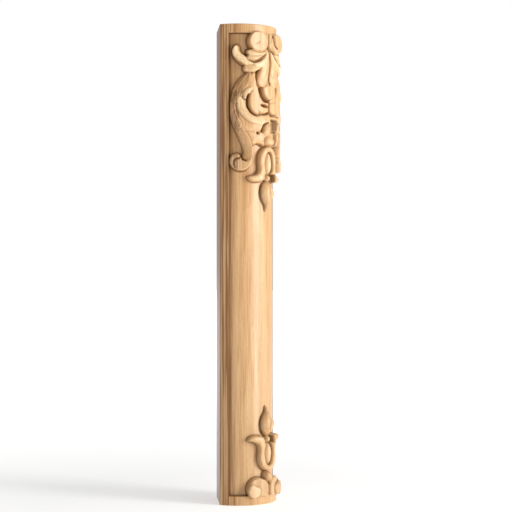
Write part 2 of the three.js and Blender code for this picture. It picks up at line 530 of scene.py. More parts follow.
@dataclass(frozen=True)
class Pocket(Stroke):
    """A field inside a box of sides and heights, cut down to a level."""

    sides: Place
    heights: Place
    level: float
    steep: float = 7.0
    # strength of the painted shade on the pocket's floor and walls
    painted_shading: float = 0.5

    def extent(self) -> tuple[Sequence[Sequence[float]], float]:
        """Returns two corners of the box."""
        return tuple(zip(self.sides, self.heights)), 0.0

    def work(self, lift: Array, painted_shading: Array, side: Array, height: Array) -> tuple[Array, Array]:
        """Cuts the pocket, whose wall rises steeply outside its box and gets the same painted shade as its
        floor.

        Args:
            lift: the lifts so far.
            painted_shading: the painted shade so far, below zero where a painted highlight lies.
            side: the places' sides.
            height: the places' heights.

        Returns:
            The lifts and the painted shade with this pocket in them.
        """
        out_side = np.maximum(self.sides[0] - side, side - self.sides[1])
        out_height = np.maximum(self.heights[0] - height, height - self.heights[1])
        floor = self.level + self.steep * np.maximum(np.maximum(out_side, out_height), 0)
        brown = np.where((floor < lift) & (lift > self.level + 1), self.painted_shading, 0)
        return np.minimum(lift, floor), deepened(painted_shading, brown)


@dataclass(frozen=True)
class HeadCarving:
    """The carving at the head: two drums, a hanging leaf, two scrolls and the web between them."""

    drum_centre: Place = (18.9, 693.9)
    drum_radius: float = 15.0
    drum_lift: float = 13.0

    def drums(self) -> list[Stroke]:
        """Carves the two drums, each with its comma, and the line between them.

        Returns:
            The strokes, in the order in which they are cut.
        """
        body = ((5, 708.5, 4.4, 9.6), (4.6, 698, 4.2, 9.6), (5.2, 690.5, 4.4, 9.6), (9, 685, 4.2, 9.6))
        comma = ((24.8, 689.6, 0.1, 12.8), (22.4, 690.6, 0.2, 12.2), (19.8, 692.6, 0.2, 12),
                 (17.8, 695.2, 0.1, 12.8))
        crescent = ((8.8, 703.6, 1, 5), (10.2, 698, 1.8, 3), (11.4, 692.6, 1.8, 3), (14.6, 689.2, 1.2, 4),
                    (19.5, 687.4, 0.4, 8))
        under = ((0.6, 685.4, 0.3, 5), (3.4, 682.4, 0.7, 4.5), (7.5, 679.6, 0.8, 4.5), (12.4, 677.6, 0.5, 6))
        middle = ((0, 706, 0.1, 6), (0, 690, 0.2, 5.5), (0, 683, 0.2, 3))
        return [
            Strand(body, crown=0.3, rim=1.0, sunk=5.0, between=(670, 706.2)),
            Drum(self.drum_centre, self.drum_radius, self.drum_lift, tilt=0.7, dip=3.4, dip_from=13.0,
                 sunk=7.0, rim=0.9, draft=1.1, painted_shading=0.65),
            Groove(comma, steep=2.6, painted_shading=1.2),
            Groove(crescent, half=Half.RIGHT, steep=5.0, painted_shading=1.3),
            Groove(under, half=Half.RIGHT, steep=4.0, painted_shading=1.2),
            Groove(middle, steep=2.6, painted_shading=0.6),
        ]

    def leaf(self) -> list[Stroke]:
        """Carves the hanging leaf: its body, its lobes and folds, and the cut between its halves.

        Returns:
            The strokes, in the order in which they are cut.
        """
        body = ((4.5, 684, 2.6, 8.2), (5.5, 675, 4.6, 10.6), (7.5, 665, 6.2, 12.4), (7.5, 659, 5, 11.8))
        long_lobe = ((5, 677, 3, 10.6), (13, 667.8, 5, 12.6), (23, 662.4, 6, 13), (34, 662.8, 5.2, 12.8),
                     (42.4, 667, 5.2, 12.6), (48.8, 673, 5, 12.4), (51, 679, 4, 12.2),
                     (50.4, 683.4, 3, 11.8))
        lobe_cut = ((39.6, 676.2, 1, 2), (42.6, 678.4, 0.4, 6))
        low_lobe = ((8, 667, 4, 12.9), (17, 659, 4.8, 13.1), (27, 653.6, 5.4, 12.8), (35.2, 653, 5.4, 11.8))
        hanging_lobe = ((7, 667, 3, 12.9), (8, 659, 4.2, 13.2), (10.6, 650, 6.8, 12.8), (12.8, 640, 8, 11.8),
                        (13.6, 633.6, 7.4, 10.4))
        middle_fold = ((3.4, 682, 2.6, 8.4), (4, 673, 3.7, 11.2), (4.4, 663, 4.6, 13), (4.4, 655, 4.7, 12.2),
                       (4.3, 645, 4.6, 10.2), (4.2, 634, 4.6, 8.8))
        under_lobe = ((4, 681.5, 2, 9.2), (11.5, 675.2, 3.2, 12), (20, 670.6, 4, 13), (27, 668.6, 4.4, 12.6),
                      (31.4, 669.2, 4.2, 11.8))
        upper_lobe = ((4, 683.6, 1.8, 8.8), (12, 679, 3.6, 11), (20.5, 676.8, 4.2, 12.2),
                      (27, 676.8, 4.6, 11.8), (31.4, 677.2, 4.2, 11.2))
        under_line = ((33.5, 664.8, 0.2, 8), (27, 662.8, 0.7, 7.5), (20, 665, 0.9, 7.5),
                      (13.5, 669.8, 0.7, 7.5), (7, 676.4, 0.2, 8.5))
        bulge = ((0, 634), (7, 633), (11.6, 627), (11.4, 620.5), (8.8, 614.6), (4.6, 609.8), (0, 607.4))
        beside_bulge = ((13, 631, 4, 8.4), (13, 622, 5, 9), (11, 612, 5, 9), (7, 606, 4, 8.4))
        middle_cut = ((0, 685, 0.2, 4), (0, 672, 0.4, 4.2), (0, 655, 0.5, 4.2), (0, 640, 0.6, 4.2),
                      (0, 631, 0.8, 4.2))
        return [
            Strand(body),
            Strand(beside_bulge, crown=0.4, half=Half.RIGHT, painted_shading=0.3),
            Island(bulge, lift=10.6, swell=1.2, reach=7.0, across=True, rim=1.0, painted_shading=1.1),
            Strand(long_lobe, rim=1.4, crown=0.6, lean=-2.0, draft=3.0, painted_shading=0.75, painted_highlight=0.55),
            Groove(lobe_cut),
            Strand(low_lobe, lean=-1.4, sunk=8.6, sunk_from=0.45, painted_highlight=0.25),
            Strand(hanging_lobe, sunk=7.4, sunk_from=0.32),
            Strand(middle_fold, rim=1.8, crown=0.7),
            Strand(under_lobe, sunk=7.0, sunk_from=0.1, rim=1.5, painted_highlight=0.25),
            Groove(under_line, steep=3.6, painted_shading=1.1),
            Strand(upper_lobe, sunk=9.4, sunk_from=0.15, rim=1.2, painted_shading=1.4, painted_highlight=0.25),
            Groove(middle_cut, steep=6.0, painted_shading=1.0),
        ]

    def web(self) -> list[Stroke]:
        """Carves the web between the scrolls, its lower lip, the drilled hole and the ball.

        Returns:
            The strokes, in the order in which they are cut.
        """
        upper = ((0, 586), (16, 587.5), (30, 590), (46, 600), (54, 596), (53, 580), (48, 566), (39, 560.4),
                 (31, 559.8), (15, 559.6), (0, 559.6))
        lower = ((0, 563), (16, 563), (38, 564), (40, 556), (35, 548), (30, 541.6), (25.5, 539.2),
                 (20.5, 541.6), (16.5, 541.2), (11.3, 538.8), (3.5, 537.8), (0, 537.8))
        small_leaf = ((0, 572), (3, 571.2), (6.2, 569), (8.4, 566), (9.6, 562.6), (10.8, 559.4), (10.2, 556),
                      (8.8, 551), (0, 549))
        leaf_line = ((13.2, 559.8, 0.9, 2), (11.6, 563.4, 0.8, 2), (10.4, 567.4, 0.7, 2.6),
                     (7.6, 570.6, 0.5, 4), (2.4, 573.2, 0.2, 7))
        bottom = ((18, 540, 0.3, 3), (14, 538.4, 0.7, 0.5), (9, 536.6, 0.8, 0.5), (3.5, 536, 0.8, 0.5),
                  (0, 536, 0.8, 0.5))
        hole = ((20, 556.9, 0.9, 0.5), (19.7, 556.9, 0.9, 0.5))
        ball, ball_lift, ball_wall = (0, 545.2), 13.2, 0.62
        return [
            Island(lower, lift=7.4, swell=2.4, reach=8.0, across=True, rim=1.4, painted_shading=0.5),
            Island(upper, lift=9.6, swell=1.2, reach=8.0, across=True, rim=1.0, sunk=6.4, painted_shading=0.7),
            Island(small_leaf, lift=10.8, swell=1.8, reach=5.0, across=True, rim=1.2, half=Half.LEFT),
            Groove(leaf_line, half=Half.LEFT, steep=5.0, painted_shading=1.0),
            Pocket((1.8, 15), (583.4, 585.6), level=3.0, half=Half.RIGHT),
            Pocket((11, 23), (538.4, 557.6), level=1.0, half=Half.RIGHT, steep=4.0),
            Ball(ball, (8.2, 7.8), ball_lift, ball_wall, sunk=2.5, steep=4.0, draft=1.2, half=Half.LEFT),
            Ball(ball, (11.5, 7.8), ball_lift, ball_wall, draft=1.2, half=Half.RIGHT),
            Groove(bottom, steep=3.6, painted_shading=1.2),
            Groove(hole, steep=9.0, painted_shading=1.5),
        ]

    def recess(self) -> list[Stroke]:
        """Carves the deep recess right of the small leaf, with a cut line above and below it, all darkened
        with painted shade.

        Returns:
            The strokes, in the order in which they are cut.
        """
        below = ((4, 560.6, 0.4, 0.5), (26, 560.6, 0.4, 0.5))
        above = ((4, 577.2, 0.4, 1), (22, 577.2, 0.4, 1))
        return [
            Pocket((4.4, 22.5), (561, 576.6), level=1.0, half=Half.RIGHT, steep=4.0, painted_shading=0.6),
            Groove(below, half=Half.RIGHT, steep=5.0, painted_shading=1.3),
            Groove(above, half=Half.RIGHT, steep=5.0, painted_shading=1.3),
        ]

    def scroll(self) -> list[Stroke]:
        """Carves one scroll: slope, stem, ridge, curl, the inner strand and the lower volute.

        Returns:
            The strokes, in the order in which they are cut.
        """
        underlay = ((27.5, 650, 3, 6.6), (33, 641, 5, 7.6), (39, 629, 7, 8.4), (43.5, 616, 9, 8.6),
                    (45.5, 604, 9, 8.8), (43.5, 592, 8, 9), (37, 583, 7, 9))
        slope = ((33.5, 645, 3.2, 7), (38, 637, 5.6, 8.4), (42.6, 629, 7.6, 9), (47.6, 620, 8.4, 9),
                 (51.6, 612, 7, 9), (55.2, 603, 5, 9), (56.4, 594, 4.2, 9), (55.4, 585, 4.8, 9.2),
                 (52.6, 576, 5.6, 9.6), (49.2, 568, 6, 9.8))
        stem = ((56, 589, 3.8, 8.6), (53.4, 579, 5, 9.6), (49.2, 568, 5.8, 10.2), (43.4, 556, 6.2, 10.8),
                (37.8, 545, 6.6, 11), (34.6, 535, 6.4, 11), (34, 527, 6.2, 11), (35.2, 520.4, 6.4, 11))
        ridge = ((44, 613, 3.6, 10.6), (44.2, 603, 5.2, 11.4), (42.4, 594.5, 6, 11.8),
                 (38, 586.5, 6.2, 12.2), (31, 580.2, 6.4, 12), (23, 577.8, 6.6, 11.2), (14, 577.4, 7, 10.4))
        inner_top = ((24.6, 648, 2.4, 8.6), (27.4, 640, 4.2, 10.6), (28.6, 631, 6.4, 12),
                     (28.4, 621, 7.8, 12.2), (28, 614, 8, 12))
        inner = ((20.4, 626), (19.6, 621), (18, 615.6), (15.8, 609.6), (12, 604.8), (7, 603.2), (1.4, 603),
                 (1, 598), (1.8, 590.8), (5.5, 587.8), (10, 587), (15, 587), (17.4, 588.2), (18.6, 585.6),
                 (22, 584.6), (26.8, 587.2), (31.8, 593.2), (34, 600.7), (34.4, 609), (33, 616), (27, 624))
        curl = ((30, 623.2, 2.4, 12.6), (34, 620.2, 3.6, 13.6), (37.2, 615.2, 4.4, 14.2),
                (37.6, 610.6, 3.4, 13.8))
        volute = ((28.8, 521), (29.8, 512.9), (32.4, 506.4), (37.6, 501.8), (45, 500.2), (51.6, 501.8),
                  (57.2, 506.4), (59.8, 512.9), (58.8, 519.2), (55.8, 523.8), (51.6, 525.8), (47.2, 524.8),
                  (44.4, 521.4), (43.4, 516.8), (39, 514.4), (34.6, 514.6), (31, 517.8))
        spiral = ((44, 520.6, 0.3, 8), (46.4, 519, 0.4, 8.4), (49.4, 518.2, 0.4, 8.8),
                  (52.4, 516.4, 0.4, 9.2),
                  (54, 512.6, 0.3, 9.6), (53.6, 508.2, 0.3, 10.2), (51.4, 504.6, 0.1, 12))
        spiral_start = ((44.8, 527, 0.5, 1), (43.8, 521.4, 0.5, 4))
        main_cut = ((33.8, 613.6, 0.4, 5), (35.2, 608, 0.6, 3.4), (35.2, 600.4, 0.6, 3),
                    (33.4, 592.8, 0.6, 3),
                    (28.6, 586.4, 0.5, 3.4), (23.2, 583.2, 0.3, 5), (19, 583, 0.2, 8))
        slot = ((14.4, 598.8, 0.4, 5), (10.8, 598.5, 0.9, 1.5), (7.4, 598, 0.9, 1.5), (3, 596.6, 0.3, 6))
        under_knob = ((17.6, 585, 0.4, 7), (10, 585, 0.5, 5.4), (4.6, 586, 0.5, 5.4), (0.6, 588.6, 0.5, 5.4))
        knob_nick = ((18.2, 583.6, 0.4, 6), (17.7, 589.4, 0.1, 9.6))
        between_knobs = ((0, 603.5, 0.2, 5), (0, 588, 0.2, 4))
        return [
            Strand(underlay, crown=0.3),
            Strand(stem, lean=-3.6, crown=1.6, sunk=9.0, sunk_from=0.1, painted_shading=0.7),
            Island(volute, lift=12.8, slope=-0.08, middle=45.0, rim=1.8, painted_highlight=0.15),
            Groove(spiral, steep=3.0),
            Groove(spiral_start),
            Strand(slope, lean=-4.4, crown=0.4),
            Strand(ridge, crown=0.8, lean=2.2, painted_shading=0.6, painted_highlight=0.3),
            Strand(inner_top, crown=0.8, rim=1.8),
            Island(inner, lift=11.9, slope=0.08, middle=26.0, rim=1.7),
            Strand(curl, sunk=8.0, sunk_from=-0.05, rim=1.2, steep=3.4, painted_shading=1.4, painted_highlight=0.3),
            Groove(main_cut, steep=5.0, painted_shading=1.0),
            Groove(slot, half=Half.LEFT, steep=5.0, painted_shading=1.0),
            Groove(under_knob, painted_shading=1.0),
            Groove(knob_nick, steep=4.0),
            Groove(between_knobs),
        ]

    def strokes(self) -> list[Stroke]:
        """Returns every stroke of the head, in the order in which it is cut."""
        return self.web() + self.scroll() + self.recess() + self.leaf() + self.drums()


@dataclass(frozen=True)
class TulipRow:
    """A ball, a tulip with an almond in its mouth, a bead and a pointed bud, on the middle line.

    base is the height of the tulip's heel and way is 1 where the row climbs and −1 where it hangs.
    corner_reach is the side at which the deep corner by the bead ends, on the right half.
    """

    base: float
    way: int
    corner_reach: float = 12.0

    def at(self, *stops: Sequence[float]) -> tuple:
        """Turns rises above the heel, second in each stop, into heights."""
        return tuple((stop[0], self.base + self.way * stop[1], *stop[2:]) for stop in stops)

    def strokes(self) -> list[Stroke]:
        """Carves the row.

        Returns:
            The strokes, in the order in which they are cut.
        """
        tulip = self.at((0, 0.2), (5, 1.4), (9.2, 4), (12.8, 8), (15.2, 12.6), (16.4, 17.6), (16.7, 23.5),
                        (16, 29), (15.8, 33.6), (16.8, 38.2), (20.2, 42.4), (26, 44.9), (31.6, 45.9),
                        (34, 46.9), (31.6, 50.6), (27, 52.8), (21, 53.4), (14, 52.4), (9.6, 50.4), (7.8, 46),
                        (6.8, 41.5), (0, 40.4))
        mouth = self.at((0, 9.4, 0.8, 4.4), (0, 15, 5.6, 4), (0, 25, 8.2, 4), (0, 33, 7.4, 4), (0, 41, 5, 3))
        almond = self.at((0, 10.2, 0.8, 8.4), (0, 16, 5.2, 10.2), (0, 25, 7.3, 11.2), (0, 33, 6.2, 10.8),
                         (0, 40.6, 2, 8.8))
        bud = self.at((0, 56.4, 2.2, 7.4), (0, 59.5, 7, 9.6), (0, 63.5, 10, 11.2), (0, 69, 11.1, 11.8),
                      (0, 74.5, 10.2, 11.6), (0, 80, 7.2, 10.6), (0, 85, 4.4, 9), (0, 90, 2.5, 7.2),
                      (0, 94.2, 1.6, 5.8))
        tip = self.at((0, 87, 2.2, 6.8), (0, 91, 1.6, 6.2), (0, 94.4, 1.2, 5.6))
        sepal = self.at((1.6, 60.5, 1.6, 11.6), (3.8, 66, 3.2, 12.6), (5.4, 72, 3.6, 12.8),
                        (5, 77.6, 1.4, 11.6))
        ball, bead = self.at((0, -9.4), (0, 47.6))
        corner = tuple(sorted(height for _, height in self.at((0, 42.5), (0, 54))))
        return [
            Ball(ball, (6.8, 8.4), lift=12.6, wall=0.64, draft=1.7, painted_shading=0.75),
            Island(tulip, across=True, lift=10.2, swell=1.0, reach=5.0, rim=1.1, sunk=3.0, painted_shading=0.6,
                   painted_highlight=0.1),
            # The mouth's line is darkened with painted shade: lightly on the left half, strongly on the
            # right half, where its wall faces away from the light.
            Groove(mouth, half=Half.LEFT, steep=6.0, painted_shading=0.35),
            Groove(mouth, half=Half.RIGHT, steep=6.0, painted_shading=1.1),
            Strand(almond, section=Section.ROUND, rim=1.0, painted_shading=0.3, painted_highlight=0.3),
            Pocket((3, self.corner_reach), corner, level=0.0, half=Half.RIGHT, painted_shading=0.8),
            Strand(bud, section=Section.ROUND, rim=1.2, painted_shading=1.4, dark_rim=0.9),
            Strand(tip, crown=0.4, rim=0.6, painted_shading=1.2),
            Strand(sepal, crown=1.2, rim=1.0, sunk=7.6, painted_shading=1.2, half=Half.RIGHT),
            Ball(bead, (4.2, 4.8), lift=9.8, wall=0.5, sunk=0.0, steep=4.0, painted_highlight=0.2),
        ]


@dataclass(frozen=True)
class FootCarving:
    """The two drums at the foot, each with a raised eye that laps over the band."""

    drum_centre: Place = (17.8, 23.3)
    drum_radius: float = 16.6
    drum_lift: float = 9.0
    drum_heights: Place = (12.6, 60.0)

    def strokes(self) -> list[Stroke]:
        """Carves the drums, the line between them and the eyes, of which the left one is painted pale as
        highlight and the right one darker as shade.

        Returns:
            The strokes, in the order in which they are cut.
        """
        middle = ((0, 34, 0.2, 4), (0, 15, 0.2, 5))
        eye = ((33.6, 24), (31.6, 29.2), (27.8, 31.6), (23.3, 28.4), (17.6, 26.2), (15.6, 21.5), (17, 15.8),
               (21.7, 12), (27.3, 10.9), (31.8, 14.6), (33.8, 19))
        # Painted light on the eyes: the left eye gets a painted highlight and little painted shade, the
        # right eye much painted shade at its wall's foot.
        lighting_by_half = ((Half.LEFT, 0.3, 0.4), (Half.RIGHT, 1.3, 0.1))
        eyes = [Island(eye, lift=13.4, slope=0.09, middle=25.0, rim=0.9, painted_shading=painted_shading, painted_highlight=painted_highlight,
                       half=half) for half, painted_shading, painted_highlight in lighting_by_half]
        return [
            Drum(self.drum_centre, self.drum_radius, self.drum_lift, tilt=-0.8, rim=1.4, draft=1.7,
                 between=self.drum_heights, sunk=4.0, painted_shading=0.65, painted_highlight=0.1),
            Groove(middle, steep=2.6, painted_shading=0.7),
            *eyes,
        ]


def add(tree: bpy.types.NodeTree, kind: str, inputs: dict | Sequence = (), output: int | str = 0,
        **settings: object) -> bpy.types.NodeSocket:
    """Adds a node with its settings and links.

    Args:
        tree: the tree that gets the node.
        kind: the node's type name without its first word.
        inputs: values or other nodes' sockets, in the order of the inputs or by name or number.
        output: the name or number of the output that is wanted.
        settings: attributes of the node.

    Returns:
        The wanted output.
    """
    made = tree.nodes.new("ShaderNode" + kind)
    for name, value in settings.items():
        setattr(made, name, value)
    for name, value in (inputs if isinstance(inputs, dict) else dict(enumerate(inputs))).items():
        if isinstance(value, bpy.types.NodeSocket):
            tree.links.new(value, made.inputs[name])
        else:
            made.inputs[name].default_value = value
    return made.outputs[output]


@dataclass(frozen=True)
class Grain:
    """Soft noise with its widths across, in depth and along the grain, its detail and its roughness."""

    widths: tuple[float, float, float]
    detail: float
    roughness: float


@dataclass(frozen=True)
class LightOak:
    """Light oak, carved, sanded and finished with wax.

    Flat-sawn oak shows long pale flames where the growth rings run out of the face, fine dark pores
    along the grain, and a soft satin shine. The wood is painted darker brown as shade in the cuts and
    hollows, at the feet of walls and towards its left side, and paler as a painted highlight on the
    tops of raised forms. The two flats are planed and left unfinished, so they are paler and greyer,
    and that grey also stands in for a painted reflection of the pale surroundings seen at a glancing
    angle. The left stile is streaked brown.
    Widths are in millimetres. The pores are drawn about twice as wide as real ones, to show. An edge
    is where a pattern begins and where it is full, and a share is how much of its colour it then gives.
    """

    pale: str = "#e4bd8b"
    warm: str = "#c3915c"
    brown: str = "#a26f3f"
    # painted shade: the colour laid in the cuts, the hollows and the feet of walls
    painted_shade: str = "#66400f"
    # painted highlight: the colour laid on the tops of raised forms
    crest: str = "#f8deb2"
    stripe: str = "#8f5f34"
    # the flats: unfinished wood, paler and greyer, and a painted reflection of the pale surroundings
    bare_wood_and_reflection: str = "#a98b7d"
    wander: Grain = Grain((34, 34, 190), 2, 0.5)
    streaks: Grain = Grain((1.2, 1.2, 60), 3, 0.55)
    bands: Grain = Grain((9, 9, 420), 3, 0.6)
    pores: Grain = Grain((0.55, 0.55, 7), 1, 0.4)
    stripes: Grain = Grain((2.6, 2.6, 150), 2, 0.5)
    ring_width: float = 3.4
    ring_wander: float = 9.0
    pith: Place = (26.0, 64.0)
    pith_lean: float = 0.011
    pore_edge: Place = (0.6, 0.74)
    pore_share: float = 0.38
    stripe_edge: Place = (0.45, 0.56)
    stripe_share: float = 0.95
    stile_edge: Place = (-40.0, -49.0)
    bare_edge: Place = (-0.1, -0.9)
    bare_share: float = 0.7
    streak_relief: float = 0.5
    pore_relief: float = -0.6
    bump_height: float = 0.12
    bump_strength: float = 0.35
    roughness: float = 0.40
    specular: float = 0.5
    coat: float = 0.16
    coat_roughness: float = 0.32

    def material(self) -> bpy.types.Material:
        """Builds the oak from growth rings, streaks and pores in the wood, with painted shade and painted
        highlight laid over them.

        A ring is the distance from the leaning pith, made wavy, over the ring width. A smooth step
        takes each pattern from none to its share of the warm colour, and one more step adds warm colour
        towards the left side as painted shade.

        Returns:
            The material, which reads Object coordinates and the mesh's "hollow", its painted shade with −1
            on the flats, and "rubbed", its painted highlight.
        """
        material = bpy.data.materials.new("light_oak_waxed")
        material.use_nodes = True
        tree = material.node_tree
        place = add(tree, "TexCoord", output="Object")
        mm = add(tree, "VectorMath", {0: place, "Scale": 1 / MM}, operation="SCALE")
        x, y, z = (add(tree, "SeparateXYZ", [mm], axis) for axis in "XYZ")
        noises = []
        for grain in (self.wander, self.streaks, self.bands, self.pores, self.stripes):
            per_mm = [1 / width for width in grain.widths]
            drawn = add(tree, "VectorMath", [mm, per_mm], operation="MULTIPLY")
            values = {"Vector": drawn, "Scale": 1.0, "Detail": grain.detail, "Roughness": grain.roughness}
            noises.append(add(tree, "TexNoise", values))
        wander, streaks, bands, pores, stripes = noises

        across = add(tree, "Math", [x, self.pith[0]], operation="SUBTRACT")
        back = add(tree, "Math", [y, self.pith[1]], operation="SUBTRACT")
        level = add(tree, "CombineXYZ", [across, back])
        from_pith = add(tree, "VectorMath", [level], "Value", operation="LENGTH")
        leaning = add(tree, "Math", [z, -self.pith_lean, from_pith], operation="MULTIPLY_ADD")
        wavy = add(tree, "Math", [wander, self.ring_wander, leaning], operation="MULTIPLY_ADD")
        rings = add(tree, "Math", [wavy, self.ring_width], operation="DIVIDE")
        ring = add(tree, "Math", [rings], operation="FRACT")

        smooth = {"interpolation_type": "SMOOTHSTEP"}
        grain_and_side_shade = 0.0
        # The last step darkens the wood towards its left side, from x = 26 down to −58 mm: painted shade on
        # the side turned away from the light.
        for value, low, high, share in ((streaks, 0.38, 0.66, 0.46), (bands, 0.36, 0.68, 0.36),
                                        (ring, 0.25, 0.98, 0.22), (x, 26.0, -58.0, 0.25)):
            part = add(tree, "MapRange", [value, low, high, 0.0, share], **smooth)
            grain_and_side_shade = add(tree, "Math", [grain_and_side_shade, part], operation="ADD")
        pore = add(tree, "MapRange", [pores, *self.pore_edge], **smooth)
        in_pores = add(tree, "Math", [pore, self.pore_share], operation="MULTIPLY")
        striped = add(tree, "MapRange", [stripes, *self.stripe_edge, 0.0, self.stripe_share], **smooth)
        on_stile = add(tree, "MapRange", [x, *self.stile_edge], **smooth)
        stile = add(tree, "Math", [striped, on_stile], operation="MULTIPLY")
        # The mesh's attributes carry painted light: a painted highlight on the raised tops, painted shade in
        # the cuts and hollows, and −1 on the flats, whose colour also stands in for a painted reflection.
        painted_highlight = add(tree, "Attribute", output="Fac", attribute_name="painted_highlight")
        painted_shade = add(tree, "Attribute", output="Fac", attribute_name="painted_shade")
        shaded = add(tree, "Math", [painted_shade, 0.0], operation="MAXIMUM")
        on_flats = add(tree, "MapRange", [painted_shade, *self.bare_edge, 0.0, self.bare_share], **smooth)
        wood = linear(self.pale)
        for share, colour in ((grain_and_side_shade, self.warm), (in_pores, self.brown), (stile, self.stripe),
                              (painted_highlight, self.crest), (shaded, self.painted_shade), (on_flats, self.bare_wood_and_reflection)):
            wood = add(tree, "Mix", {0: share, 6: wood, 7: linear(colour)}, 2, data_type="RGBA")

        raised = add(tree, "Math", [streaks, self.streak_relief], operation="MULTIPLY")
        relief = add(tree, "Math", [pore, self.pore_relief, raised], operation="MULTIPLY_ADD")
        values = {"Height": relief, "Strength": self.bump_strength, "Distance": self.bump_height * MM}
        shader = tree.nodes["Principled BSDF"]
        tree.links.new(wood, shader.inputs["Base Color"])
        tree.links.new(add(tree, "Bump", values), shader.inputs["Normal"])
        shader.inputs["Roughness"].default_value = self.roughness
        shader.inputs["Specular IOR Level"].default_value = self.specular
        shader.inputs["Coat Weight"].default_value = self.coat
        shader.inputs["Coat Roughness"].default_value = self.coat_roughness
        return material


@dataclass
class CarvedColumn:
    """The column: a round front with a sunk, carved panel, and two flats that meet in a back corner.

    Lengths are in millimetres and angles in degrees. recess is how deep the panel is sunk, band is
    the height of the plain band at each end, and pitch and rise are the grid's steps over the carving.
    The close rows end at foot_top and begin again at head_foot, with plain_rows between them. The
    line of painted shade in the corner along the panel's edge has edge_width and edge_shade, and
    frame_shade is the share of the painted shade that shows on the frame. Painted shade is lessened by
    lit_upward where the wood faces up, as light falls from above, and deepened by hollow_shade in the
    hollows, and darkest_shade and palest_highlight are the limits of the painted shade and painted
    highlight.
    """

    height: float
    half_width: float
    back: float
    half_angle: float = 78.0
    recess: float = 6.5
    carving_radius: float = 55.0
    panel_angle: float = 64.0
    band: float = 14.0
    arris: float = 0.8
    corner: float = 1.3
    pitch: float = 0.81
    rise: float = 0.85
    clearance: float = 0.05
    cap_inset: float = 1.2
    foot_top: float = 148.5
    plain_rows: Place = (155.0, 432.0)
    head_foot: float = 439.0
    edge_width: float = 1.3
    edge_shade: float = 0.8
    frame_shade: float = 0.25
    lit_upward: float = 0.4
    hollow_shade: float = 0.4
    darkest_shade: float = 0.95
    palest_highlight: float = 0.9
    finish: LightOak = LightOak()

    @property
    def front_radius(self) -> float:
        """The round front's radius, from the half width over the sine of its half angle."""
        return self.half_width / math.sin(math.radians(self.half_angle))

    @property
    def panel_side(self) -> float:
        """The side at which the panel ends."""
        return self.carving_radius * math.radians(self.panel_angle)

    def sides(self) -> Array:
        """Spreads the columns of vertices over the round front: close on the panel, apart on the stiles.

        Returns:
            The columns' sides, from left to right.
        """
        edge, end = self.panel_side, self.carving_radius * math.radians(self.half_angle) - 1.4
        inner = edge - EDGE_STEPS[-1]
        panel = np.linspace(-inner, inner, int(round(2 * inner / self.pitch)))
        stile = np.concatenate([edge + EDGE_STEPS, np.linspace(edge + 3.0, end, 4)])
        return np.concatenate([-stile[::-1], panel, stile])

    def heights(self) -> tuple[Array, Array]:
        """Spreads the rows: close over the carving and the panel's ends, far apart between them.

        Returns:
            The rows' heights and how far each draws in for the arris at both ends.
        """
        turn = np.radians([0, 30, 60, 90])
        low, shrink = self.arris * (1 - np.cos(turn)), self.arris * (1 - np.sin(turn))
        foot_edge, head_edge = self.band, self.height - self.band
        foot = [np.linspace(3.0, 8.0, 3), np.arange(9.2, foot_edge - 1.4, self.rise),
                foot_edge - EDGE_STEPS[::-1], np.arange(foot_edge + 1.0, self.foot_top, self.rise)]
        head = [np.arange(self.head_foot, head_edge - 0.9, self.rise), head_edge + EDGE_STEPS,
                np.arange(head_edge + 1.9, head_edge + 6.4, self.rise), np.linspace(714.0, 717.0, 2)]
        plain = np.linspace(*self.plain_rows, 12)
        rows = np.concatenate([low, *foot, plain, *head, self.height - low[::-1]])
        draw_in = np.zeros_like(rows)
        draw_in[:4], draw_in[-4:] = shrink, shrink[::-1]
        return rows, draw_in

    def past_panel(self, side: Array, height: Array) -> Array:
        """Gives how far a place lies past the panel's edge, negative on the panel."""
        over_ends = np.maximum(height - (self.height - self.band), self.band - height)
        return np.maximum(np.abs(side) - self.panel_side, over_ends)

    def carve(self, side: Array, height: Array) -> tuple[Array, Array]:
        """Works every stroke into the panel, softens the result a little and sets the frame round it.

        Args:
            side: sides of the grid, by row and column.
            height: heights of the grid.

        Returns:
            The lifts of the grid and the painted shade in its cuts, below zero where a painted highlight
            lies.
        """
        lift, painted_shading = np.zeros(side.size), np.zeros(side.size)
        s, h = side.ravel(), height.ravel()
        strokes = HeadCarving().strokes() + TulipRow(537.5, -1, corner_reach=16.0).strokes()
        strokes += TulipRow(50.0, 1).strokes() + FootCarving().strokes()
        for stroke in strokes:
            near = stroke.near(np.abs(s), h)
            if stroke.half is not Half.BOTH:
                near &= s * stroke.half.value > -OVERLAP
            lift[near], painted_shading[near] = stroke.work(lift[near], painted_shading[near], np.abs(s[near]), h[near])
        past = self.past_panel(side, height)
        surround = shoulder(past, np.full_like(past, self.recess), 0.6, 0.3)
        return np.maximum(softened(lift.reshape(side.shape), 1), surround), painted_shading.reshape(side.shape)

    def rounded(self, point: Array, first: Array, last: Array, count: int) -> Array:
        """Rounds a corner of the section with an arc.

        Args:
            point: the sharp corner.
            first: the outward direction before it.
            last: the outward direction after it.
            count: points on the arc.

        Returns:
            Rows of a point and its outward direction.
        """
        centre = point - self.corner * (first + last) / (1 + first @ last)
        turn = np.linspace(math.atan2(first[1], first[0]), math.atan2(last[1], last[0]), count)
        ways = np.stack([np.cos(turn), np.sin(turn)], 1)
        return np.hstack([centre + self.corner * ways, ways])

    def outline(self) -> Array:
        """Draws the section's far part, from the front's right end round the back to its left end.

        Returns:
            Rows of a point and its outward direction.
        """
        a = math.radians(self.half_angle)
        front_way = np.array([math.sin(a), -math.cos(a)])
        flat_way = np.array([1.0, 1.0]) / math.sqrt(2)
        right = np.array([self.half_width, -self.front_radius * math.cos(a)])
        corner = self.rounded(right, front_way, flat_way, 5)
        rear_corner = self.rounded(np.array([0.0, self.back]), flat_way, flat_way * (-1, 1), 6)
        return np.vstack([corner, rear_corner, corner[::-1] * (-1, 1, -1, 1)])

